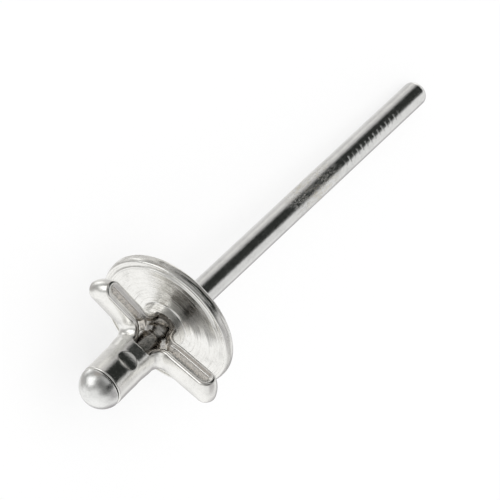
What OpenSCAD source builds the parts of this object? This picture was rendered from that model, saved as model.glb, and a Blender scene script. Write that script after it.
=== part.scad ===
// Set pop rivet, in millimetres. Body and stem are drawn along z, with the seam between
// head and body at z = 0 and the tail upward, then leaned, turned and laid on the floor.

/* [Stem] */
// Diameter of the pull stem
stem_dia = 2.85;  // [1.8:0.05:4]
// Length of the stem from the underside of its head to the tail
stem_len = 57.3;  // [35:0.1:90]
// Rounding of the tail end
tail_round = 0.75;  // [0.2:0.05:0.9]
// Distance of the break neck from the underside of the head
neck_at = 8.6;  // [6:0.1:9.5]
// Diameter left at the break neck
neck_dia = 2.1;  // [1.4:0.05:2.4]
// Length of the break neck along the stem
neck_len = 1;  // [0.5:0.1:1.6]
// How much less than half a ball the head is
head_cut = 0.25;  // [0.05:0.05:0.6]
// Rounding of the two edges that meet at the seam
seam_round = 0.14;  // [0.05:0.01:0.2]

/* [Body] */
// Wall of the body, legs included
wall = 0.75;  // [0.4:0.05:1.2]
// Clearance between stem and bore, each side
stem_fit = 0.08;  // [0.02:0.01:0.3]
// Lean of the body on the stem, in degrees
body_lean = 1.6;  // [0:0.1:4]
// Length of the round nose before the slots begin
nose_len = 5.1;  // [4:0.1:8]
// How much thicker the nose is at the slots than at the seam, each side
nose_swell = 0.1;  // [0.06:0.01:0.3]

/* [Crimps] */
// Number of crimps that hold the head of the stem
crimp_count = 3;  // [2:1:6]
// Distance of the crimps from the seam
crimp_at = 3;  // [1.8:0.05:3.4]
// Depth of a crimp
crimp_depth = 0.27;  // [0.1:0.01:0.35]
// Radius of the tool that presses a crimp
crimp_tool = 1.35;  // [0.8:0.05:2]

/* [Legs] */
// Width of the three slots that part the legs
slot_width = 2.05;  // [1.2:0.05:2.6]
// Straight length of a leg before it turns outward
leg_straight = 0.35;  // [0.1:0.05:3]
// Radius of the bend that turns a leg outward
bend_out = 0.8;  // [0.4:0.05:2]
// Gap left between the two halves of a folded leg at their edges
fold_gap = 0.35;  // [0.1:0.05:1.5]
// Bow across a folded leg, from its edges to its middle
leg_bow = 0.28;  // [0.1:0.02:0.4]
// Distance over which a leg flattens as it leaves the body
flatten_over = 2;  // [1:0.1:4]
// Radius of the bend that turns a leg back towards the flange
bend_back = 1;  // [0.4:0.05:1.5]
// Direction of the longest leg, in degrees from the middle of the slot beside it
first_leg = 59;  // [50:1:70]
// Reach of the longest leg from the middle of the body
reach_long = 9.85;  // [7:0.05:11]
// Reach of the leg that lies underneath
reach_under = 9.3;  // [7:0.05:11]
// Reach of the shortest leg
reach_short = 8.85;  // [7:0.05:11]
// How far the longest leg leans towards the nose, in degrees
droop_long = 14;  // [2:0.5:20]
// How far the leg underneath leans towards the nose, in degrees
droop_under = 15;  // [2:0.5:20]
// How far the shortest leg leans towards the nose, in degrees
droop_short = 17;  // [2:0.5:20]
// Straight length of the legs between their last bend and the collar
root_len = 0.3;  // [0.1:0.05:3]
// Length of the collar between the slots and the flange
collar_len = 0.9;  // [0.3:0.05:3]

/* [Flange] */
// Diameter of the flange
flange_dia = 16;  // [12:0.1:20]
// Thickness of the flange at its rim
rim_thick = 1.25;  // [0.8:0.05:2.5]
// Rise of the back of the flange from its rim to its flat middle
back_rise = 0.35;  // [0.1:0.05:1]
// Diameter of the flat middle of the back
back_flat = 9;  // [7:0.1:11]
// Rounding of the rim
rim_round = 0.4;  // [0.1:0.05:0.4]
// Fillet between the collar and the flange
collar_fillet = 0.2;  // [0.05:0.05:0.3]

/* [Hidden] */
stem_r = stem_dia / 2;
flange_r = flange_dia / 2;
slope = tan(body_lean);
deg = 180 / PI;
// how far one solid runs into the next that it is fused with
lap = 0.03;

// depth of a folded leg, and the radius at its tip
fold_depth = 2 * (wall + leg_bow) + fold_gap;
tip = fold_depth / 2;
// the three legs: reach, lean towards the nose and direction about the body
reach = [reach_long, reach_under, reach_short];
droop = [droop_long, droop_under, droop_short];
turn_of = [for (i = [0:2]) first_leg + 120 * i];
// where the legs begin to turn outward
bend_z = nose_len + leg_straight;

// the bore widens towards the flange, so that the body can lean on its stem
function bore_at(z) = stem_r + stem_fit + z * slope;
nose_r = bore_at(nose_len) + wall;
root_r = nose_r + nose_swell;

// the head stands off the leaning body by just enough to clear it
seat_gap = nose_r * sin(body_lean) + 0.025;
head_z = -seat_gap + head_cut;
tail_z = stem_len - seat_gap;

// points on an arc about (x, y), from one angle to another in n steps
function arc(x, y, r, from, to, n) =
    [for (i = [0:n]) let (a = from + (to - from) * i / n) [x + r * cos(a), y + r * sin(a)]];

// 0 before a, 1 after b, and a smooth rise between
function ease(x, a, b) =
    let (t = max(0, min(1, (x - a) / (b - a))))
    t * t * (3 - 2 * t);

// half of the width of a leg along its curve, and the radius it is bent to once folded
leg_half = root_r * (60 - asin(slot_width / 2 / root_r)) / deg;
leg_radius = leg_half * leg_half / (2 * leg_bow);

// radius across the leg at a distance from the axis: as the body at the root, flatter farther out
function strip_radius(rho) =
    let (e = ease(rho, root_r, root_r + flatten_over))
    1 / ((1 - e) / root_r + e / leg_radius);

// distance of a leg's crown from the axis where it leaves the nose
r0 = root_r - lap;

// where the first bend of a leg ends, and where the fold's turn has its middle
function first_end(d) = [r0 + bend_out - bend_out * sin(d), bend_z + bend_out * cos(d)];
function fold_middle(i) =
    let (
        d = droop[i],
        p = first_end(d),
        along = (reach[i] - tip - tip * sin(d) - p[0]) / cos(d)
    )
    [reach[i] - tip, p[1] - along * sin(d) + tip * cos(d)];

// height at which a leg has turned back to run along the stem, beside a collar of radius r
function leg_end(i, r) =
    let (
        d = droop[i],
        c = fold_middle(i),
        from = c[0] + tip * sin(d),
        to = r + bend_back - bend_back * sin(d)
    )
    c[1] + tip * cos(d) + (from - to) * tan(d) + bend_back * cos(d);

// heights of the collar and the flange, which follow from the longest leg
legs_top = max([for (i = [0:2]) leg_end(i, root_r)]);
collar_z = legs_top + root_len;
flange_z = collar_z + collar_len;
rim_back = flange_z + rim_thick;
flange_back = rim_back + back_rise;

// the collar is as wide as its bore asks for at the flange's back
collar_r = bore_at(flange_back) + wall + 2 * lap;
r1 = collar_r - lap;

// path of a leg's crown: distance from the axis, height, and the angle that faces out
function leg_path(i) =
    let (
        d = droop[i],
        p = first_end(d),
        c = fold_middle(i),
        q = [c[0] - tip * sin(d), c[1] - tip * cos(d)],
        f = [c[0] + tip * sin(d), c[1] + tip * cos(d)],
        end = leg_end(i, r1),
        g = [r1 + bend_back - bend_back * sin(d), end - bend_back * cos(d)]
    )
    concat(
        [[r0, nose_len - 0.25, 0]],
        [for (n = [0:7]) let (k = (-90 - d) * n / 7)
            [r0 + bend_out - bend_out * cos(k), bend_z - bend_out * sin(k), k]],
        [for (n = [1:3]) [p[0] + (q[0] - p[0]) * n / 4, p[1] + (q[1] - p[1]) * n / 4, -90 - d]],
        [for (n = [0:15]) let (k = -90 - d + 12 * n)
            [c[0] + tip * cos(k), c[1] + tip * sin(k), k]],
        [for (n = [1:3]) [f[0] + (g[0] - f[0]) * n / 4, f[1] + (g[1] - f[1]) * n / 4, 90 - d]],
        [for (n = [0:6]) let (k = (90 - d) * (1 - n / 6))
            [r1 + bend_back - bend_back * cos(k), end - bend_back * sin(k), k]],
        [[r1, collar_z + 0.3, 0]]
    );

// one point of the strip: width across the leg and depth below its crown
function strip_point(big, t, down) =
    let (a = leg_half / big * deg * t, r = big - down)
    [r * sin(a), big - r * cos(a)];

across = 10;

// all points of a leg, station by station, outer face first and then the inner face back
function leg_points(i) = [
    for (p = leg_path(i))
        let (big = strip_radius(p[0]))
        for (j = [0:2 * across + 1])
            let (
                outer = j <= across,
                t = outer ? 2 * j / across - 1 : 1 - 2 * (j - across - 1) / across,
                s = strip_point(big, t, outer ? 0 : wall),
                rho = p[0] - s[1] * cos(p[2]),
                z = p[1] - s[1] * sin(p[2]),
                turn = turn_of[i]
            )
            [rho * cos(turn) - s[0] * sin(turn), rho * sin(turn) + s[0] * cos(turn), z]
];

module leg(n) {
    ring = 2 * across + 2;
    rows = len(leg_path(n)) - 1;
    polyhedron(
        points = leg_points(n),
        faces = concat(
            [for (i = [0:rows - 1]) for (j = [0:ring - 1])
                [i * ring + j, (i + 1) * ring + j, (i + 1) * ring + (j + 1) % ring]],
            [for (i = [0:rows - 1]) for (j = [0:ring - 1])
                [i * ring + j, (i + 1) * ring + (j + 1) % ring, i * ring + (j + 1) % ring]],
            [for (j = [0:across - 1]) [j, j + 1, 2 * across - j, 2 * across + 1 - j]],
            [for (j = [0:across - 1]) let (b = rows * ring)
                [b + 2 * across + 1 - j, b + 2 * across - j, b + j + 1, b + j]]
        ),
        convexity = 6
    );
}

module nose() {
    difference() {
        rotate_extrude($fn = 72)
            polygon(concat(
                [[bore_at(0), 0]],
                arc(nose_r - seam_round, seam_round, seam_round, -90, 0, 5),
                [
                    [nose_r, crimp_at + crimp_tool * 0.7],
                    [root_r, nose_len],
                    [bore_at(nose_len), nose_len]
                ]
            ));
        for (i = [0:crimp_count - 1])
            rotate([0, 0, i * 360 / crimp_count])
                translate([nose_r - crimp_depth + crimp_tool, 0, crimp_at])
                    rotate([90, 0, 0])
                        cylinder(r = crimp_tool, h = 2 * nose_r, center = true, $fn = 48);
    }
}

module flange() {
    rotate_extrude($fn = 96)
        polygon(concat(
            [[bore_at(collar_z), collar_z], [collar_r, collar_z]],
            arc(collar_r + collar_fillet, flange_z - collar_fillet, collar_fillet, 180, 90, 4),
            arc(flange_r - rim_round, flange_z + rim_round, rim_round, -90, 0, 6),
            arc(flange_r - rim_round, rim_back - rim_round, rim_round, 0, 90, 6),
            [[back_flat / 2, flange_back], [bore_at(flange_back), flange_back]]
        ));
}

// height of a point above the stem's middle, for a turn r about the stem and a slope b
function lift(p, r, b) = -cos(b) * (p[0] * cos(r) - p[1] * sin(r)) - sin(b) * p[2];
function sideways(p) = p[0] * sin(roll) + p[1] * cos(roll);
function leaned(p) = [
    p[0],
    p[1] * cos(body_lean) - p[2] * sin(body_lean),
    p[1] * sin(body_lean) + p[2] * cos(body_lean)
];
body_axis = leaned([0, 0, 1]);
all_legs = [for (i = [0:2]) for (p = leg_points(i)) leaned(p)];
leg_under = [for (p = leg_points(1)) if (norm([p[0], p[1]]) > reach_under - tip) leaned(p)];

// lowest height of the rim, of the leg underneath and of the tail
function rim_low(r, b) =
    min([for (z = [flange_z + rim_round, rim_back - rim_round])
        let (n = lift(body_axis, r, b))
        lift(leaned([0, 0, z]), r, b) - (flange_r - rim_round) * sqrt(1 - n * n) - rim_round]);
function leg_low(points, r, b) = min([for (p = points) lift(p, r, b)]);
function tail_low(b) =
    -sin(b) * (tail_z - tail_round) - cos(b) * (stem_r - tail_round) - tail_round;

// the slope at which the rim and the tail both touch the floor
function rim_slope(r, lo, hi, n) =
    let (mid = (lo + hi) / 2)
    n == 0 ? mid :
    rim_low(r, mid) < tail_low(mid) ? rim_slope(r, mid, hi, n - 1) : rim_slope(r, lo, mid, n - 1);

// the turn at which the leg underneath touches it too, so that the rivet lies on three points
function rest_roll(lo, hi, n) =
    let (mid = (lo + hi) / 2, b = rim_slope(mid, 0, 40, 24))
    n == 0 ? mid :
    leg_low(leg_under, mid, b) > rim_low(mid, b) ? rest_roll(mid, hi, n - 1)
                                                 : rest_roll(lo, mid, n - 1);
roll = rest_roll(135, 180 + 60 - first_leg, 24);

// the slope at which the lowest of rim and legs touches together with the tail
function body_low(b) = min(rim_low(roll, b), leg_low(all_legs, roll, b));
function rest_slope(lo, hi, n) =
    let (mid = (lo + hi) / 2)
    n == 0 ? mid :
    body_low(mid) < tail_low(mid) ? rest_slope(mid, hi, n - 1) : rest_slope(lo, mid, n - 1);
slope_down = rest_slope(0, 40, 30);

// middle of the footprint
legs_side = [for (p = all_legs) sideways(p)];
rim_side = (flange_r - rim_round) * sqrt(1 - pow(sideways(body_axis), 2)) + rim_round;
rim_middle = sideways(leaned([0, 0, flange_z + rim_thick / 2]));
side_lo = min(min(legs_side), rim_middle - rim_side);
side_hi = max(max(legs_side), rim_middle + rim_side);
end_lo = cos(slope_down) * head_z - nose_r;
end_hi = cos(slope_down) * (tail_z - tail_round) + sin(slope_down) * (stem_r - tail_round) + tail_round;

module lay_down() {
    translate([-(end_lo + end_hi) / 2, -(side_lo + side_hi) / 2, -tail_low(slope_down)])
        rotate([0, 90 + slope_down, 0])
            rotate([0, 0, roll])
                children();
}

module sleeve() {
    color([0.8, 0.81, 0.82])
        lay_down()
            rotate([body_lean, 0, 0])
                union() {
                    nose();
                    flange();
                    for (i = [0:2])
                        leg(i);
                }
}

module mandrel() {
    neck_z = neck_at - seat_gap;
    edge = nose_r - seam_round;
    side = asin((head_cut + seam_round) / edge);
    color([0.7, 0.71, 0.74])
        lay_down()
            rotate_extrude($fn = 64)
                polygon(concat(
                    arc(0, head_z, nose_r, -90, -side, 12),
                    arc(edge * cos(side), -seat_gap - seam_round, seam_round, -side, 90, 4),
                    [
                        [stem_r, -seat_gap],
                        [stem_r, neck_z - neck_len / 2],
                        [neck_dia / 2, neck_z - neck_len / 8],
                        [neck_dia / 2, neck_z + neck_len / 8],
                        [stem_r, neck_z + neck_len / 2]
                    ],
                    arc(stem_r - tail_round, tail_z - tail_round, tail_round, 0, 90, 6),
                    [[0, tail_z]]
                ));
}

sleeve();
mandrel();
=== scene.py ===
"""Set pop rivet, dressed: the same sizes as the CAD part, with finer surfaces and bright metal.

Every surface is first worked out in the rivet's own axes, in millimetres: x towards the slot
that faces the camera, y across, z along the stem from the seam to the tail. It is then leaned,
turned and laid on the floor, as the CAD part is.
"""
import bpy
import numpy as np
from mathutils import Matrix


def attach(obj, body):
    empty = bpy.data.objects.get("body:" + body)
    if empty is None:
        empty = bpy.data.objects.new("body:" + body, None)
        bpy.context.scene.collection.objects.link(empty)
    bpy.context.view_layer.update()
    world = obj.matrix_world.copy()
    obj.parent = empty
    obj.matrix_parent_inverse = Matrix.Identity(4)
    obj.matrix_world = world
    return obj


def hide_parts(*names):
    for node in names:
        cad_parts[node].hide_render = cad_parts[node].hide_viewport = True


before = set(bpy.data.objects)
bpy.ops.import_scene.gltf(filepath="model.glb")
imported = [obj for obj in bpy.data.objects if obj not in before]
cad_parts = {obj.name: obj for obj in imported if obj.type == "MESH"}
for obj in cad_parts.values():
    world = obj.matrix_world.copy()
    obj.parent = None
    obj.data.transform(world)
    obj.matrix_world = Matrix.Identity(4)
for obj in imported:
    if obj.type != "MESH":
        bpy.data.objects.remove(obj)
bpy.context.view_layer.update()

# Sizes in mm, as in the CAD part, with angles in radians. LEG_WALL, SLOT_IN, SLOT_OUT, the edge
# and seam rounds and the tail's two sizes are the dressed surface's own.
STEM_R, STEM_LEN, TAIL_LONG, TAIL_FLAT = 1.425, 57.3, 0.95, 0.35
NECK_AT, NECK_R = 8.6, 1.05
WALL, FIT, LEAN = 0.75, 0.08, np.radians(1.6)
NOSE_LEN, SWELL, SEAM_ROUND, HEAD_CUT = 5.1, 0.1, 0.18, 0.25
CRIMPS, CRIMP_AT, CRIMP_TOOL = 3, 3.0, 1.35
SLOT, STRAIGHT, BEND_OUT, BEND_BACK = 2.05, 0.35, 0.8, 1.0
FOLD_GAP, BOW, FLATTEN, LEG_WALL = 0.35, 0.28, 2.0, 0.66
SLOT_IN, SLOT_OUT, EDGE_OUT, EDGE_IN = 0.34, 0.3, 0.32, 0.07
REACH = (9.85, 9.3, 8.85)
DROOP = np.radians((14.0, 15.0, 17.0))
TURN = np.radians((59.0, 179.0, 299.0))
ROOT_LEN, COLLAR_LEN = 0.3, 0.9
FLANGE_R, RIM, RISE, BACK_R, RIM_ROUND, FILLET = 8.0, 1.25, 0.35, 4.5, 0.4, 0.2
ROLL, SLOPE = np.radians(157.393984), np.radians(8.490694)
SHIFT = np.array([-27.22390225, -0.63577583, 9.75356512])

SEAT_GAP, COLLAR_OVER = 0.025, 0.06
TIP = WALL + BOW + FOLD_GAP / 2
NOSE_R = STEM_R + FIT + NOSE_LEN * np.tan(LEAN) + WALL
ROOT_R = NOSE_R + SWELL
BEND_Z = NOSE_LEN + STRAIGHT
SEAT = NOSE_R * np.sin(LEAN) + SEAT_GAP
TAIL_Z = STEM_LEN - SEAT
LEG_HALF = ROOT_R * (np.pi / 3 - np.arcsin(SLOT / 2 / ROOT_R))
LEG_RADIUS = LEG_HALF ** 2 / (2 * BOW)
THIRD = np.pi / 3
COLUMNS = 38          # quads across one of the three sectors of the body
AROUND = 144          # and round the stem
# Kinds of surface, which the materials tell apart.
NOSE, OUTSIDE, INSIDE, CUT, TURNED, DRAWN = 0.0, 1.0, 2.0, 3.0, 4.0, 5.0


def bore(z):
    """Radius of the bore: it opens towards the flange, so that the leaning body clears the stem."""
    return STEM_R + FIT + z * np.tan(LEAN)


def turn_x(a):
    """Turn about x by the angle a."""
    return np.array([[1, 0, 0], [0, np.cos(a), -np.sin(a)], [0, np.sin(a), np.cos(a)]])


def turn_z(a):
    """Turn about z by the angle a."""
    return np.array([[np.cos(a), -np.sin(a), 0], [np.sin(a), np.cos(a), 0], [0, 0, 1]])


# The stem's axis lies along +X and slopes down by SLOPE towards the tail.
LAY = np.array([[-np.sin(SLOPE), 0, np.cos(SLOPE)], [0, 1, 0],
                [-np.cos(SLOPE), 0, -np.sin(SLOPE)]]) @ turn_z(ROLL)
LEANED = turn_x(LEAN)


def place(points, leaned):
    """Points in the rivet's axes, in mm, to the shared frame, in metres."""
    p = points @ LEANED.T if leaned else points
    return (p @ LAY.T + SHIFT) / 1000.0


def smooth(x, a, b):
    """0 before a, 1 after b, and a smooth rise between."""
    t = np.clip((x - a) / (b - a), 0.0, 1.0)
    return t * t * (3 - 2 * t)


def waves(x, seed, count, low, high):
    """Sum of sine waves of random length and phase: x is in mm, low and high are waves a mm."""
    rng = np.random.default_rng(seed)
    f = rng.uniform(low, high, count)
    ph = rng.uniform(0, 2 * np.pi, count)
    amp = rng.uniform(0.4, 1.0, count)
    return (amp * np.sin(2 * np.pi * np.multiply.outer(x, f) + ph)).sum(-1) / np.sqrt(count)


def add_mesh(name, points, faces, local, marks, leaned):
    """One piece from corner points and triangles. local keeps the points in the rivet's own axes
    for the materials, and marks holds the kind of surface at each point."""
    me = bpy.data.meshes.new(name)
    co = place(points, leaned)
    me.vertices.add(len(co))
    me.vertices.foreach_set("co", co.astype(np.float32).ravel())
    me.loops.add(faces.size)
    me.loops.foreach_set("vertex_index", faces.astype(np.int32).ravel())
    me.polygons.add(len(faces))
    me.polygons.foreach_set("loop_start", np.arange(0, faces.size, 3, dtype=np.int32))
    me.polygons.foreach_set("use_smooth", np.ones(len(faces), dtype=bool))
    me.update(calc_edges=True)
    a = me.attributes.new("local", "FLOAT_VECTOR", "POINT")
    a.data.foreach_set("vector", local.astype(np.float32).ravel())
    m = me.attributes.new("mark", "FLOAT", "POINT")
    m.data.foreach_set("value", marks.astype(np.float32).ravel())
    ob = bpy.data.objects.new(name, me)
    bpy.context.scene.collection.objects.link(ob)
    return ob


def quads(rows, cols, start=0, flip=False):
    """Corner numbers of the quads of a grid of points. They face away from the axis where the rows
    run along it and the columns run round it, and the other way with flip."""
    i, j = np.meshgrid(np.arange(rows - 1), np.arange(cols - 1), indexing="ij")
    a = (start + i * cols + j).ravel()
    q = np.stack([a, a + cols, a + cols + 1, a + 1], 1)
    return q if flip else q[:, ::-1]


def weld(points, faces, *extra):
    """Joins points that lie on each other and cuts each quad into triangles, without those that
    have two corners in one point."""
    steps_a_mm = 2e4
    key = np.round(points * steps_a_mm).astype(np.int64)
    _, first, back = np.unique(key, axis=0, return_index=True, return_inverse=True)
    faces = back.reshape(-1)[faces]
    tri = np.concatenate([faces[:, [0, 1, 2]], faces[:, [0, 2, 3]]])
    keep = (tri[:, 0] != tri[:, 1]) & (tri[:, 1] != tri[:, 2]) & (tri[:, 2] != tri[:, 0])
    return (points[first], tri[keep]) + tuple(e[first] for e in extra)


def arc(cx, cy, r, start, end, n):
    """n points on an arc, angles in radians."""
    t = np.linspace(start, end, n)
    return np.stack([cx + r * np.cos(t), cy + r * np.sin(t)], 1)


def line(a, b, n):
    """n points from a to b, both included."""
    return np.array(a) + np.linspace(0, 1, n)[:, None] * (np.array(b) - np.array(a))


# The sleeve.

def first_end(d):
    """Point on the line of the near run, beside the first bend, for a leg that droops by d."""
    return np.array([ROOT_R + BEND_OUT - BEND_OUT * np.sin(d), BEND_Z + BEND_OUT * np.cos(d)])


def fold_middle(i):
    """Middle of the half turn at a leg's tip: distance from the axis and height."""
    d, p = DROOP[i], first_end(DROOP[i])
    along = (REACH[i] - TIP - TIP * np.sin(d) - p[0]) / np.cos(d)
    return np.array([REACH[i] - TIP, p[1] - along * np.sin(d) + TIP * np.cos(d)])


def leg_end(i, r):
    """Height at which a leg has turned back along the stem, beside a collar of radius r."""
    d, c = DROOP[i], fold_middle(i)
    start = c[0] + TIP * np.sin(d)
    to = r + BEND_BACK - BEND_BACK * np.sin(d)
    return c[1] + TIP * np.cos(d) + (start - to) * np.tan(d) + BEND_BACK * np.cos(d)


COLLAR_Z = max(leg_end(i, ROOT_R) for i in range(3)) + ROOT_LEN
FLANGE_Z = COLLAR_Z + COLLAR_LEN
BACK_Z = FLANGE_Z + RIM + RISE
COLLAR_R = bore(BACK_Z) + WALL + COLLAR_OVER


def leg_path(i):
    """Crown of a leg from the slot's nose end to the collar: distance from the axis, height and
    the angle that faces out. Straight, a bend outward, the near run, a half turn, the far run, a
    bend back and straight again, joined at common tangents."""
    d, c = DROOP[i], fold_middle(i)
    # the first bend's radius, at which the bend touches both the barrel's line and the near run
    slant = np.sin(d)
    bend = BEND_OUT * (1 - slant) * (1 + 2 * slant) / (1 + slant)
    p = np.array([ROOT_R + bend * (1 + slant), BEND_Z + bend * np.cos(d)])
    q = c + TIP * np.array([-np.sin(d), -np.cos(d)])
    f = c + TIP * np.array([np.sin(d), np.cos(d)])
    end = leg_end(i, COLLAR_R)
    g = np.array([COLLAR_R + BEND_BACK - BEND_BACK * np.sin(d), end - BEND_BACK * np.cos(d)])
    k1 = np.linspace(0, -np.pi / 2 - d, 22)
    k2 = np.linspace(-np.pi / 2 - d, np.pi / 2 - d, 40)
    k3 = np.linspace(np.pi / 2 - d, 0, 22)
    u = 1 - np.cos(np.linspace(0, np.pi / 2, 7))
    # stations close together where the slot opens, and again where it ends
    open_z = NOSE_LEN + SLOT_IN * u
    shut_z = COLLAR_Z - SLOT_OUT * u[::-1]
    rows = [
        np.stack([np.full(7, ROOT_R), open_z, np.zeros(7)], 1),
        np.stack([ROOT_R + bend - bend * np.cos(k1), BEND_Z - bend * np.sin(k1), k1], 1),
        np.column_stack([line(p, q, 26)[1:-1], np.full(24, -np.pi / 2 - d)]),
        np.stack([c[0] + TIP * np.cos(k2), c[1] + TIP * np.sin(k2), k2], 1),
        np.column_stack([line(f, g, 24)[1:-1], np.full(22, np.pi / 2 - d)]),
        np.stack([COLLAR_R + BEND_BACK - BEND_BACK * np.cos(k3),
                  end - BEND_BACK * np.sin(k3), k3], 1),
        np.stack([np.full(7, COLLAR_R), np.maximum(shut_z, end + 0.002), np.zeros(7)], 1),
    ]
    return np.concatenate(rows)


def gap_open(z, k):
    """Half width of the slot along a leg: round at both ends, where the path runs along z."""
    a = np.clip((z - NOSE_LEN) / SLOT_IN, 0, 1)
    b = np.clip((COLLAR_Z - z) / SLOT_OUT, 0, 1)
    flat = np.abs(k) < 0.02
    near = np.where(flat & (z < NOSE_LEN + 1), np.sqrt(1 - (1 - a) ** 2), 1.0)
    far = np.where(flat & (z > NOSE_LEN + 1), np.sqrt(1 - (1 - b) ** 2), 1.0)
    return near * far


def barrel_radius(z, angle):
    """Outside of the nose: a slight taper with a shallow oval bowl pressed in at each crimp. The
    bowl is a paraboloid with a soft edge, and the metal stands up a little round it."""
    half_wide, half_long, deep, soft_edge = 1.18, 0.84, 0.13, 0.012
    raised, raised_at, raised_wide = 0.022, 1.06, 0.09
    straight = CRIMP_AT + 0.7 * CRIMP_TOOL
    r = NOSE_R + SWELL * np.clip((z - straight) / (NOSE_LEN - straight), 0, 1)
    for n in range(CRIMPS):
        a = (angle - n * 2 * np.pi / CRIMPS + np.pi) % (2 * np.pi) - np.pi
        q = (a * NOSE_R / half_wide) ** 2 + ((z - CRIMP_AT) / half_long) ** 2
        bowl = 1 - q
        soft = 0.5 * (bowl + np.sqrt(bowl ** 2 + soft_edge))
        r = r - deep * soft + raised * np.exp(-((np.sqrt(q) - raised_at) / raised_wide) ** 2)
    return r


def flange_profile():
    """Distance from the axis and height: collar, fillet, turned front with a low lip near the rim,
    round rim, sloping back and its flat middle. The front carries fine rings, which are a sum of
    sine waves, and a few small steps."""
    n, break_edge = 190, 0.06
    edge_wide, edge_long = 0.25, 0.7
    # height of each step and the two distances between which it rises
    turned_steps = ((0.02, 3.9, 3.97), (-0.02, 4.75, 4.85), (0.025, 5.6, 5.66),
                    (0.012, 6.1, 6.14), (-0.014, 6.45, 6.5))
    rho = np.linspace(COLLAR_R + FILLET, FLANGE_R - edge_wide, n)
    ringed = smooth(rho, 3.0, 3.4) * (1 - smooth(rho, 6.7, 6.95))
    rings = 0.006 * waves(rho, 3, 26, 1.5, 7.0) * ringed
    steps = sum(h * smooth(rho, a, b) for h, a, b in turned_steps)
    lip_high, lip_at, lip_wide = 0.13, 7.12, 0.13
    lip = lip_high * np.exp(-((rho - lip_at) / lip_wide) ** 2)
    lip = lip - 0.11 * smooth(rho, 7.2, 7.5) * (1 - smooth(rho, 7.52, 7.6))
    dip = 0.03 * smooth(rho, 6.6, 6.9) * (1 - smooth(rho, 7.45, 7.6))
    front = np.stack([rho, FLANGE_Z - rings - steps - 0.8 * lip + dip], 1)
    return np.concatenate([
        line((COLLAR_R, COLLAR_Z), (COLLAR_R, FLANGE_Z - FILLET), 12)[1:-1],
        arc(COLLAR_R + FILLET, FLANGE_Z - FILLET, FILLET, np.pi, np.pi / 2, 8)[:-1],
        front,
        arc(0, 0, 1, -np.pi / 2, 0, 14)[1:] * (edge_wide, edge_long)
        + (FLANGE_R - edge_wide, FLANGE_Z + edge_long),
        line((FLANGE_R, FLANGE_Z + edge_long), (FLANGE_R, FLANGE_Z + RIM - RIM_ROUND), 6)[1:-1],
        arc(FLANGE_R - RIM_ROUND, FLANGE_Z + RIM - RIM_ROUND, RIM_ROUND, 0, np.pi / 2, 14),
        line((FLANGE_R - RIM_ROUND, FLANGE_Z + RIM), (BACK_R, BACK_Z), 40)[1:],
        line((BACK_R, BACK_Z), (bore(BACK_Z) + break_edge, BACK_Z), 30)[1:],
        arc(bore(BACK_Z) + break_edge, BACK_Z - break_edge, break_edge, np.pi / 2, np.pi, 5)[1:],
    ])


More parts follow.
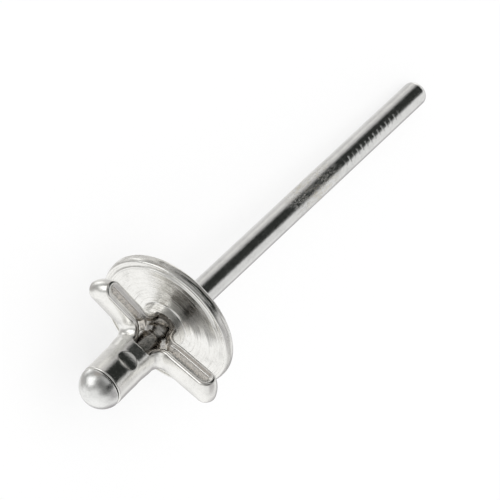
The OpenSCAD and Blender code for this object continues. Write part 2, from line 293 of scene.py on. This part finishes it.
def sleeve():
    """The body as three equal sectors welded to each other. Each sector is a grid: one way along
    the profile from the seam, over the nose, out along the leg and back, over the collar and the
    flange and back down inside; the other way across. Where the slots are, the sector narrows to
    the leg's width and its cut faces close it, with their edges rounded."""
    u = np.linspace(-1, 1, COLUMNS + 1)
    verts, faces, marks, count = [], [], [], 0

    def put(grid, mark, flip):
        """Adds one grid of points, all of one kind of surface."""
        nonlocal count
        r, c = grid.shape[:2]
        verts.append(grid.reshape(-1, 3))
        marks.append(np.broadcast_to(mark, (r, c)).reshape(-1))
        faces.append(quads(r, c, count, flip))
        count += r * c

    def spun(prof):
        """The profile carried round the axis over one sector."""
        height = np.broadcast_to(prof[:, 1:], (len(prof), COLUMNS + 1))
        return np.stack([prof[:, :1] * np.cos(angle), prof[:, :1] * np.sin(angle), height], -1)

    nose_z = np.concatenate([np.linspace(SEAM_ROUND, 1.8, 16)[1:], np.linspace(1.8, 4.2, 60)[1:],
                             np.linspace(4.2, NOSE_LEN, 9)[1:-1]])
    seam = np.concatenate([line((bore(0), 0), (NOSE_R - SEAM_ROUND, 0), 6)[:-1],
                           arc(NOSE_R - SEAM_ROUND, SEAM_ROUND, SEAM_ROUND, -np.pi / 2, 0, 9)])
    back = flange_profile()
    for i in range(3):
        path = leg_path(i)
        rho, z, k = path.T
        d = DROOP[i]
        # radius across: the body's own at both ends, flatter farther out
        e = smooth(rho, ROOT_R, ROOT_R + FLATTEN)
        big = 1 / ((1 - e) / ROOT_R + e / LEG_RADIUS)
        # the last stations, from the bend back to the collar
        late = (np.arange(len(rho)) > len(rho) - 30) & (k >= 0)
        q = np.clip(1 - k / (np.pi / 2 - d), 0, 1)
        big = np.where(late, big * (1 - smooth(q, 0.1, 1)) + rho * smooth(q, 0.1, 1), big)
        o = gap_open(z, k)
        root_half = rho * THIRD
        half = root_half - (root_half - LEG_HALF) * o
        half = np.where(o >= 1, LEG_HALF, half)
        ro, ri = EDGE_OUT * o ** 2, EDGE_IN * o ** 2
        # the wall follows the bore where the leg runs along the stem, and is LEG_WALL thick beyond
        along_stem, bent = 0.02, 0.7
        root_wall = rho - bore(z)
        w = np.where(np.abs(k) < along_stem, root_wall, LEG_WALL)
        leaving = smooth(np.abs(k), along_stem, bent)
        w = np.where((k < -along_stem) & (k > -bent),
                     root_wall[0] + (LEG_WALL - root_wall[0]) * leaving, w)
        w = np.where(late & (k > along_stem) & (k < bent),
                     LEG_WALL + (root_wall[-1] - LEG_WALL) * (1 - leaving), w)
        # the cap holds at a fold's tip, where one station can run along the stem as well
        w = np.minimum(w, 1.0)

        def strip(along, down):
            """Points at the distance along from the leg's middle line and down below its skin."""
            a = along / big[:, None]
            r = big[:, None] - down
            x, dn = r * np.sin(a), big[:, None] - r * np.cos(a)
            out = rho[:, None] - dn * np.cos(k)[:, None]
            zz = z[:, None] - dn * np.sin(k)[:, None]
            return np.stack([out, x, zz], -1)

        def turned(p):
            """Points of the first leg, carried round to this one."""
            return p @ turn_z(TURN[i]).T

        top = strip(u[None, :] * (half - ro)[:, None], np.zeros((len(rho), 1)))
        low = strip(u[None, :] * (half - ri)[:, None], w[:, None])
        put(turned(top), OUTSIDE, False)
        put(turned(low), INSIDE, True)
        # cut face: outer edge worn round, flat middle, sharper inner edge
        t, t2 = np.linspace(0, np.pi / 2, 7), np.linspace(np.pi / 2, 0, 4)
        ro, ri = ro[:, None], ri[:, None]
        inset = np.concatenate([ro * (1 - np.sin(t)), 0 * ro + np.zeros(3),
                                ri * (1 - np.sin(t2))], 1)
        deep = np.concatenate([ro * (1 - np.cos(t)),
                               ro + np.linspace(0, 1, 5)[1:-1] * (w[:, None] - ro - ri),
                               w[:, None] - ri * (1 - np.cos(t2))], 1)
        for s in (-1, 1):
            edge = s * (half[:, None] - inset)
            put(turned(strip(edge, deep)), CUT, s < 0)
        # nose, with the crimps, and the seam's rounding
        angle = TURN[i] + u * THIRD
        put(spun(seam), NOSE, False)
        zz = np.concatenate([[SEAM_ROUND], nose_z, [NOSE_LEN]])[:, None] + 0 * u
        rad = barrel_radius(zz, angle[None, :] + 0 * zz)
        # the two ends meet the seam's rounding and the leg exactly
        rad[0], rad[-1] = NOSE_R, ROOT_R
        put(np.stack([rad * np.cos(angle), rad * np.sin(angle), zz], -1), NOSE, False)
        # collar, flange and the flange's back
        prof = np.concatenate([[[COLLAR_R, COLLAR_Z]], back,
                               [[bore(COLLAR_Z + 0.5), COLLAR_Z + 0.5]],
                               [[COLLAR_R - w[-1], COLLAR_Z]]])
        put(spun(prof), TURNED, False)
        # bore of the nose
        put(spun(np.array([[ROOT_R - w[0], NOSE_LEN], [bore(NOSE_LEN - 0.4), NOSE_LEN - 0.4],
                           [bore(0), 0]])), INSIDE, False)
    p, f, m = weld(np.concatenate(verts), np.concatenate(faces), np.concatenate(marks))
    return add_mesh("sleeve_surface", p, f, p, m, True)


# The mandrel.

def mandrel():
    """A turned profile carried round the axis: the domed head, the rounding at the seam, the stem
    with its break neck, and the rounded tail. The jaws of the tool have left short grooves across
    the stem near the tail, on three sides: rows of narrow cosine humps, cut into the radius."""
    head_z, edge = -SEAT + HEAD_CUT, NOSE_R - SEAM_ROUND
    side = np.arcsin((HEAD_CUT + SEAM_ROUND) / edge)
    neck, half_neck, half_cut = NECK_AT - SEAT, 0.12, 0.5
    fine_from = 38
    prof = np.concatenate([
        arc(0, head_z, NOSE_R, -np.pi / 2, -side, 60)[1:],
        arc(edge * np.cos(side), -SEAT - SEAM_ROUND, SEAM_ROUND, -side, np.pi / 2, 12)[1:],
        line((edge * np.cos(side), -SEAT), (STEM_R, -SEAT), 4)[1:],
        line((STEM_R, -SEAT), (STEM_R, neck - half_cut), 14)[1:],
        line((STEM_R, neck - half_cut), (NECK_R, neck - half_neck), 8)[1:],
        line((NECK_R, neck - half_neck), (NECK_R, neck + half_neck), 4)[1:],
        line((NECK_R, neck + half_neck), (STEM_R, neck + half_cut), 8)[1:],
        line((STEM_R, neck + half_cut), (STEM_R, fine_from), 60)[1:],
        line((STEM_R, fine_from), (STEM_R, TAIL_Z - TAIL_LONG), 420)[1:],
        arc(0, 0, 1, 0, np.pi / 2, 24)[1:] * (STEM_R - TAIL_FLAT, TAIL_LONG)
        + (TAIL_FLAT, TAIL_Z - TAIL_LONG),
        line((TAIL_FLAT, TAIL_Z), (0.02, TAIL_Z), 6)[1:],
    ])
    a = np.linspace(0, 2 * np.pi, AROUND + 1)
    rho, z = prof[:, :1] + 0 * a, prof[:, 1:] + 0 * a
    # grooves of the jaws, fainter at both ends of the row and each of its own depth; each row is
    # given by its middle and half its width round the stem, in radians
    pitch, deep, one_tooth = 0.78, 0.05, 40
    row = smooth(z, 39.6, 42.5) * (1 - smooth(z, 51.2, 52.6))
    tooth = np.clip(np.cos(2 * np.pi * (z - one_tooth) / pitch), 0, 1) ** 4
    tooth = tooth * (0.72 + 0.28 * waves(z, 8, 5, 0.3, 0.9))
    grip = 0
    for mid, wide in ((0.26, 0.34), (2.35, 0.36), (4.45, 0.3)):
        off = (a - mid + np.pi) % (2 * np.pi) - np.pi
        grip = grip + (1 - smooth(np.abs(off), wide * 0.55, wide))
    on_stem = (z > 38.5) & (z < TAIL_Z - TAIL_LONG - 0.4)
    rho = rho - np.where(on_stem, deep * tooth * row * grip, 0)
    g = np.stack([rho * np.cos(a), rho * np.sin(a), z], -1)
    p, f = [g.reshape(-1, 3)], [quads(len(prof), AROUND + 1)]
    # poles: the first ring and the last, each closed on its middle
    for zz, first, flip in ((-SEAT + HEAD_CUT - NOSE_R, g[0], True), (TAIL_Z, g[-1], False)):
        c = np.stack([0 * a, 0 * a, zz + 0 * a], -1)
        n = sum(len(q) for q in p)
        p.append(np.concatenate([first, c]))
        f.append(quads(2, AROUND + 1, n, flip))
    p, f = weld(np.concatenate(p), np.concatenate(f))
    return add_mesh("mandrel_surface", p, f, p, np.full(len(p), DRAWN), False)


# The metals.

class Nodes:
    """Short way to build a node tree. Where a value is asked for, a socket or a number will do."""

    def __init__(self, tree):
        self.tree = tree
        tree.nodes.clear()

    def add(self, kind, **settings):
        """A node: settings that start with an underscore are its inputs."""
        n = self.tree.nodes.new(kind)
        for key, value in settings.items():
            if key.startswith("_"):
                n.inputs[key[1:].replace("_", " ")].default_value = value
            else:
                setattr(n, key, value)
        return n

    def link(self, a, b):
        """From the output a to the input b."""
        self.tree.links.new(a, b)

    def math(self, op, a, b=0.0, c=None):
        """One sum of two or three values."""
        n = self.add("ShaderNodeMath", operation=op)
        for s, v in zip(n.inputs, (a, b) if c is None else (a, b, c)):
            if hasattr(v, "links"):
                self.link(v, s)
            else:
                s.default_value = v
        return n.outputs[0]

    def times(self, first, *more):
        """Product."""
        for v in more:
            first = self.math("MULTIPLY", first, v)
        return first

    def about(self, x, share, middle):
        """middle, moved by share of what x differs from one half."""
        return self.math("MULTIPLY_ADD", self.math("SUBTRACT", x, 0.5), share, middle)

    def point(self, x, y):
        """Vector with x and y."""
        n = self.add("ShaderNodeCombineXYZ")
        self.link(x, n.inputs[0])
        self.link(y, n.inputs[1])
        return n.outputs[0]

    def ramp(self, x, *stops):
        """Colour ramp: each stop is a position with a colour or a grey."""
        stops = [(p, c if isinstance(c, tuple) else (c, c, c)) for p, c in stops]
        n = self.add("ShaderNodeValToRGB")
        el = n.color_ramp.elements
        el[0].position, el[0].color = stops[0][0], (*stops[0][1], 1)
        el[1].position, el[1].color = stops[-1][0], (*stops[-1][1], 1)
        for pos, col in stops[1:-1]:
            el.new(pos).color = (*col, 1)
        self.link(x, n.inputs[0])
        return n.outputs[0]

    def mix(self, kind, factor, a, b):
        """Mix of two colours: b is a socket or a colour."""
        n = self.add("ShaderNodeMix", data_type="RGBA", blend_type=kind)
        self.link(factor, n.inputs["Factor"])
        self.link(a, n.inputs["A"])
        if hasattr(b, "links"):
            self.link(b, n.inputs["B"])
        else:
            n.inputs["B"].default_value = (*b, 1)
        return n.outputs["Result"]

    def noise(self, vec, scale, detail, rough, stretch=None):
        """Soft noise: scale is about how many blots there are for each unit of vec."""
        if stretch is not None:
            m = self.add("ShaderNodeMapping")
            m.inputs["Scale"].default_value = stretch
            self.link(vec, m.inputs["Vector"])
            vec = m.outputs[0]
        n = self.add("ShaderNodeTexNoise", _Scale=scale, _Detail=detail, _Roughness=rough)
        self.link(vec, n.inputs["Vector"])
        return n.outputs["Fac"]


def turned_finish(n, mark, rho, ang, z, colour, roughness, height):
    """Finish of the collar and the flange: fine rings about the axis, long streaks on the rim's
    side and a painted reflection, a grey sector of the mirrored legs' shade on one side of the
    flange. Gives colour, roughness and height."""
    face = n.math("GREATER_THAN", mark, TURNED - 0.5)
    tenth = n.times(rho, 0.1)
    ring = n.point(rho, n.times(ang, 0.25))
    lines = n.noise(ring, 3.4, 5.0, 0.75)
    coarse = n.noise(ring, 2.3, 2.0, 0.5)
    both = n.math("ADD", n.times(lines, 0.9), n.times(coarse, 0.8))
    height = n.math("ADD", height, n.times(both, face, 1.3))
    shade = n.ramp(lines, (0.30, (0.42, 0.42, 0.41)), (0.40, (0.86, 0.86, 0.85)), (0.5, 1.0))
    colour = n.mix("MULTIPLY", n.times(face, 0.75), colour, shade)
    # the rim's side: bright, with long worn streaks along it
    rim_side = n.times(n.ramp(tenth, (0.785, 0.0), (0.797, 1.0)), face)
    roughness = n.math("ADD", roughness, n.times(face, -0.03))
    roughness = n.math("MULTIPLY_ADD", rim_side, -0.04, roughness)
    streak = n.noise(n.point(n.times(ang, 1.1), n.times(z, 2.8)), 1.3, 4.0, 0.65)
    worn = n.times(rim_side, n.ramp(streak, (0.49, 0.0), (0.53, 1.0)))
    roughness = n.mix("MIX", worn, roughness, (0.7, 0.7, 0.7))
    # painted reflection: a darker sector, standing in for the legs and barrel mirrored in the
    # flange, about the angle given in radians, broken up along the rings
    reflected_shade_at, reflected_shade_tone = 0.42, (0.28, 0.28, 0.28)
    off = n.math("ABSOLUTE", n.math("SUBTRACT", ang, reflected_shade_at))
    broken = n.times(n.math("SUBTRACT", coarse, 0.5), 1.1)
    side = n.ramp(n.math("ADD", off, broken), (0.2, 1.0), (0.5, 0.0))
    ends = n.ramp(tenth, (0.30, 0.0), (0.36, 1.0), (0.60, 1.0), (0.74, 0.0))
    colour = n.mix("MULTIPLY", n.times(side, ends, n.times(face, 0.75)), colour, reflected_shade_tone)
    return colour, roughness, height


def drawn_finish(n, loc, z, colour, roughness, height):
    """Finish of the stem: faint lines along it, and a scuffed, faintly golden stretch below the
    marks of the jaws. Gives colour, roughness and height."""
    scuff_at, gold = 36.0, (0.93, 0.88, 0.76)
    drawn = n.noise(loc, 5.0, 3.0, 0.6, stretch=(3.0, 3.0, 0.05))
    height = n.math("ADD", height, n.times(drawn, 0.5))
    roughness = n.about(drawn, 0.16, roughness)
    away = n.times(n.math("ABSOLUTE", n.math("SUBTRACT", z, scuff_at)), 0.2)
    near = n.math("SUBTRACT", 1.0, n.math("MINIMUM", away, 1.0))
    speck = n.math("GREATER_THAN", n.noise(loc, 2.2, 4.0, 0.7, stretch=(1.6, 1.6, 0.5)), 0.53)
    roughness = n.math("MULTIPLY_ADD", near, 0.12, roughness)
    height = n.math("MULTIPLY_ADD", n.times(near, speck), 1.6, height)
    colour = n.mix("MULTIPLY", n.times(near, speck, 0.7), colour, gold)
    return colour, roughness, height


def metal(name, base, rough, turned):
    """Bright aluminium: slow changes of tone and of roughness, a fine grain and small pits, with
    the turned or the drawn finish on top, and mottled dirt with painted shade in the slots and the
    folds."""
    mat = bpy.data.materials.new(name)
    mat.use_nodes = True
    n = Nodes(mat.node_tree)
    out = n.add("ShaderNodeOutputMaterial")
    bsdf = n.add("ShaderNodeBsdfPrincipled", _Metallic=1.0)
    n.link(bsdf.outputs[0], out.inputs[0])
    loc = n.add("ShaderNodeAttribute", attribute_name="local").outputs["Vector"]
    mark = n.add("ShaderNodeAttribute", attribute_name="mark").outputs["Fac"]
    xyz = n.add("ShaderNodeSeparateXYZ")
    n.link(loc, xyz.inputs[0])
    x, y, z = xyz.outputs
    rho = n.math("SQRT", n.math("ADD", n.times(x, x), n.times(y, y)))
    slow = n.noise(loc, 0.55, 3.0, 0.55)
    mottle = n.noise(loc, 3.2, 4.0, 0.6)
    fine = n.noise(loc, 22.0, 3.0, 0.6)
    grain = n.noise(loc, 60.0, 2.0, 0.5)
    tone = n.math("ADD", n.times(slow, 0.6), n.times(mottle, 0.4))
    colour = n.ramp(n.about(grain, 0.5, tone), (0.26, tuple(c * 0.8 for c in base)), (0.5, base),
                    (0.72, tuple(min(c * 1.05, 1) for c in base)))
    roughness = n.about(mottle, 0.22, rough)
    height = n.math("ADD", n.times(fine, 0.45), n.times(mottle, 0.9))
    height = n.math("ADD", height, n.times(grain, 0.16))
    if turned:
        ang = n.math("ARCTAN2", y, x)
        colour, roughness, height = turned_finish(n, mark, rho, ang, z, colour, roughness, height)
        # painted shade with mottled dirt on the inner sides, darker nearer the stem, and on the cut
        # faces near the stem
        tenth = n.times(rho, 0.1)
        deep = n.ramp(tenth, (0.30, 0.9), (0.46, 0.72))
        cut = n.ramp(tenth, (0.29, 0.7), (0.36, 0.0))
        shade_and_dirt = n.math("ADD", n.times(n.math("COMPARE", mark, INSIDE, 0.45), deep),
                       n.times(n.math("COMPARE", mark, CUT, 0.45), cut))
    else:
        colour, roughness, height = drawn_finish(n, loc, z, colour, roughness, height)
        # painted shade with mottled dirt on the stretch of the stem between the legs
        shade_and_dirt = n.times(n.math("COMPARE", z, 7.4, 3.2), 0.55)
    # mottled dark brown, multiplied in: dirt together with painted shade in the recesses
    dirt_and_shade_tone = n.ramp(mottle, (0.38, (0.13, 0.115, 0.10)), (0.58, (0.50, 0.45, 0.39)))
    n.link(n.mix("MULTIPLY", shade_and_dirt, colour, dirt_and_shade_tone), bsdf.inputs["Base Color"])
    n.link(roughness, bsdf.inputs["Roughness"])
    bump = n.add("ShaderNodeBump", _Strength=0.4, _Distance=0.00003)
    n.link(height, bump.inputs["Height"])
    n.link(bump.outputs[0], bsdf.inputs["Normal"])
    return mat


body = sleeve()
stem = mandrel()
body.data.materials.append(metal("body_bright", (0.93, 0.922, 0.9), 0.16, True))
stem.data.materials.append(metal("stem_bright", (0.88, 0.88, 0.873), 0.2, False))
for ob, node, slot in ((body, "sleeve", "body_metal"), (stem, "mandrel", "stem_metal")):
    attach(ob, "root")
    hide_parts(node)


# The studio.

def sheet_of_floor():
    """White floor. The camera sees it as three parts plain white and one part lit, which keeps a
    faint shadow. Reflections see through it to the tent."""
    me = bpy.data.meshes.new("floor")
    s = 3.0
    me.from_pydata([(-s, -s, 0), (s, -s, 0), (s, s, 0), (-s, s, 0)], [], [(0, 1, 2, 3)])
    ob = bpy.data.objects.new("floor", me)
    bpy.context.scene.collection.objects.link(ob)
    mat = bpy.data.materials.new("floor_white")
    mat.use_nodes = True
    n = Nodes(mat.node_tree)
    out = n.add("ShaderNodeOutputMaterial")
    soft = n.add("ShaderNodeBsdfDiffuse", _Color=(0.9, 0.9, 0.9, 1))
    plain = n.add("ShaderNodeEmission", _Color=(1, 1, 1, 1), _Strength=1.0)
    through = n.add("ShaderNodeBsdfTransparent")
    path = n.add("ShaderNodeLightPath")
    seen = n.add("ShaderNodeMixShader")
    mirrored = n.add("ShaderNodeMixShader")
    n.link(n.math("MULTIPLY", path.outputs["Is Camera Ray"], 0.75), seen.inputs[0])
    n.link(soft.outputs[0], seen.inputs[1])
    n.link(plain.outputs[0], seen.inputs[2])
    n.link(path.outputs["Is Glossy Ray"], mirrored.inputs[0])
    n.link(seen.outputs[0], mirrored.inputs[1])
    n.link(through.outputs[0], mirrored.inputs[2])
    n.link(mirrored.outputs[0], out.inputs[0])
    ob.data.materials.append(mat)
    return ob


# Panels of the light tent: direction round the stem's axis and from it, half widths and softness
# of the edge, all in degrees, and the light that the panel gives back. Later ones lie on top.
TENT_LIGHT, TENT_RADIUS = (0.83, 0.83, 0.82), 0.6
PANELS = (
    (-176.0, 126.0, 66.0, 34.0, 16.0, (0.97, 0.97, 0.96)),
    (-70.0, 54.0, 50.0, 70.0, 30.0, (0.56, 0.55, 0.545)),
    (-110.0, 92.0, 36.0, 28.0, 10.0, (0.46, 0.45, 0.44)),
    (-108.0, 80.0, 13.0, 13.0, 8.0, (1.25, 1.25, 1.23)),
    (152.0, 54.0, 24.0, 40.0, 14.0, (0.44, 0.43, 0.435)),
    (75.0, 84.0, 24.0, 26.0, 12.0, (0.50, 0.49, 0.49)),
    (4.0, 122.0, 62.0, 28.0, 20.0, (0.20, 0.20, 0.195)),
    (-74.0, 124.0, 44.0, 36.0, 12.0, (0.34, 0.34, 0.33)),
    (-80.0, 54.0, 10.0, 16.0, 8.0, (0.82, 0.81, 0.78)),
    (-57.0, 90.0, 12.0, 11.0, 6.0, (0.34, 0.31, 0.28)),
    (-100.0, 22.0, 30.0, 14.0, 8.0, (1.25, 1.24, 1.2)),
    (0.0, 54.0, 43.0, 30.0, 10.0, (0.022, 0.024, 0.022)),
    (30.0, 100.0, 13.0, 15.0, 6.0, (0.03, 0.03, 0.03)),
    (-76.0, 125.0, 25.0, 20.0, 8.0, (1.3, 1.3, 1.29)),
)


def tent():
    """A sphere round the set that only reflections show: pale, with brighter and darker panels. The
    shade is worked out from each point's direction in the rivet's own axes."""
    rows, cols = 181, 361
    th = np.linspace(0.0, np.pi, rows)[:, None]
    ph = np.linspace(0, 2 * np.pi, cols)[None, :]
    d = np.stack([np.sin(th) * np.cos(ph), np.sin(th) * np.sin(ph), np.cos(th) + 0 * ph], -1)
    polar = np.degrees(np.arccos(np.clip(d[..., 2], -1, 1)))
    round_axis = np.degrees(np.arctan2(d[..., 1], d[..., 0]))
    shade = np.ones(polar.shape + (3,)) * np.array(TENT_LIGHT)
    for az, po, wa, wp, soft, colour in PANELS:
        da = np.abs((round_axis - az + 180) % 360 - 180)
        dp = np.abs(polar - po)
        m = (1 - smooth(da, wa - soft, wa + soft)) * (1 - smooth(dp, wp - soft, wp + soft))
        shade = shade * (1 - m[..., None]) + np.array(colour) * m[..., None]
    corners = d.reshape(-1, 3) @ LAY.T * TENT_RADIUS
    me = bpy.data.meshes.new("light_tent")
    me.from_pydata(corners.tolist(), [], quads(rows, cols, 0, True).tolist())
    a = me.attributes.new("shade", "FLOAT_VECTOR", "POINT")
    a.data.foreach_set("vector", shade.reshape(-1, 3).astype(np.float32).ravel())
    ob = bpy.data.objects.new("light_tent", me)
    bpy.context.scene.collection.objects.link(ob)
    mat = bpy.data.materials.new("tent_cloth")
    mat.use_nodes = True
    n = Nodes(mat.node_tree)
    out = n.add("ShaderNodeOutputMaterial")
    em = n.add("ShaderNodeEmission", _Strength=1.0)
    shown = n.add("ShaderNodeAttribute", attribute_name="shade")
    n.link(shown.outputs["Vector"], em.inputs["Color"])
    n.link(em.outputs[0], out.inputs[0])
    ob.data.materials.append(mat)
    ob.visible_camera = False
    ob.visible_diffuse = False
    ob.visible_shadow = False
    ob.visible_transmission = False
    return ob


def camera():
    """Stands where the photograph was taken from. The rivet's axes as seen by the camera come from
    the angle of the stem to the line of sight, tilt, and its direction in the picture, turn. middle
    is the seam's middle as seen by the camera, in mm: right, down and away."""
    turn, tilt, middle = np.radians(43.11), np.radians(54.24), np.array([-15.06, 13.83, 323.91])
    a = np.array([np.sin(tilt) * np.cos(turn), -np.sin(tilt) * np.sin(turn), np.cos(tilt)])
    v = np.array([0.0, 0.0, 1.0])
    t = -(v - (v @ a) * a)
    t /= np.linalg.norm(t)
    own = np.stack([t, np.cross(a, t), a], 1)
    seen = own @ LAY.T
    place_at = (SHIFT - LAY @ own.T @ middle) / 1000.0
    rot = np.stack([seen[0], -seen[1], -seen[2]], 1)
    cam = bpy.data.cameras.new("camera")
    cam.sensor_width, cam.lens = 36.0, 230.4
    cam.clip_start, cam.clip_end = 0.01, 20.0
    ob = bpy.data.objects.new("camera", cam)
    m = np.eye(4)
    m[:3, :3] = rot
    m[:3, 3] = place_at
    ob.matrix_world = Matrix(m.tolist())
    bpy.context.scene.collection.objects.link(ob)
    bpy.context.scene.camera = ob


floor = sheet_of_floor()
tent()
camera()

# A weak lamp from above, for the shadow on the floor.
lamp = bpy.data.lights.new("soft_lamp", "AREA")
lamp.shape = "DISK"
lamp.size = 0.5
lamp.energy = 1.0
lamp_ob = bpy.data.objects.new("soft_lamp", lamp)
lamp_ob.location = (-0.1, 0.05, 0.5)
lamp_ob.visible_glossy = False
bpy.context.scene.collection.objects.link(lamp_ob)

# White all round: a little dimmer as light than as it is seen.
world = bpy.data.worlds.new("studio")
bpy.context.scene.world = world
world.use_nodes = True
n = Nodes(world.node_tree)
w_out = n.add("ShaderNodeOutputWorld")
w_seen = n.add("ShaderNodeBackground", _Color=(1, 1, 1, 1), _Strength=1.0)
w_lit = n.add("ShaderNodeBackground", _Color=(1, 1, 1, 1), _Strength=0.85)
path = n.add("ShaderNodeLightPath")
sees = n.math("MAXIMUM", path.outputs["Is Camera Ray"], path.outputs["Is Glossy Ray"])
sees = n.math("MAXIMUM", sees, path.outputs["Is Transmission Ray"])
w_mix = n.add("ShaderNodeMixShader")
n.link(sees, w_mix.inputs[0])
n.link(w_lit.outputs[0], w_mix.inputs[1])
n.link(w_seen.outputs[0], w_mix.inputs[2])
n.link(w_mix.outputs[0], w_out.inputs[0])

bpy.context.scene.view_settings.view_transform = "Standard"
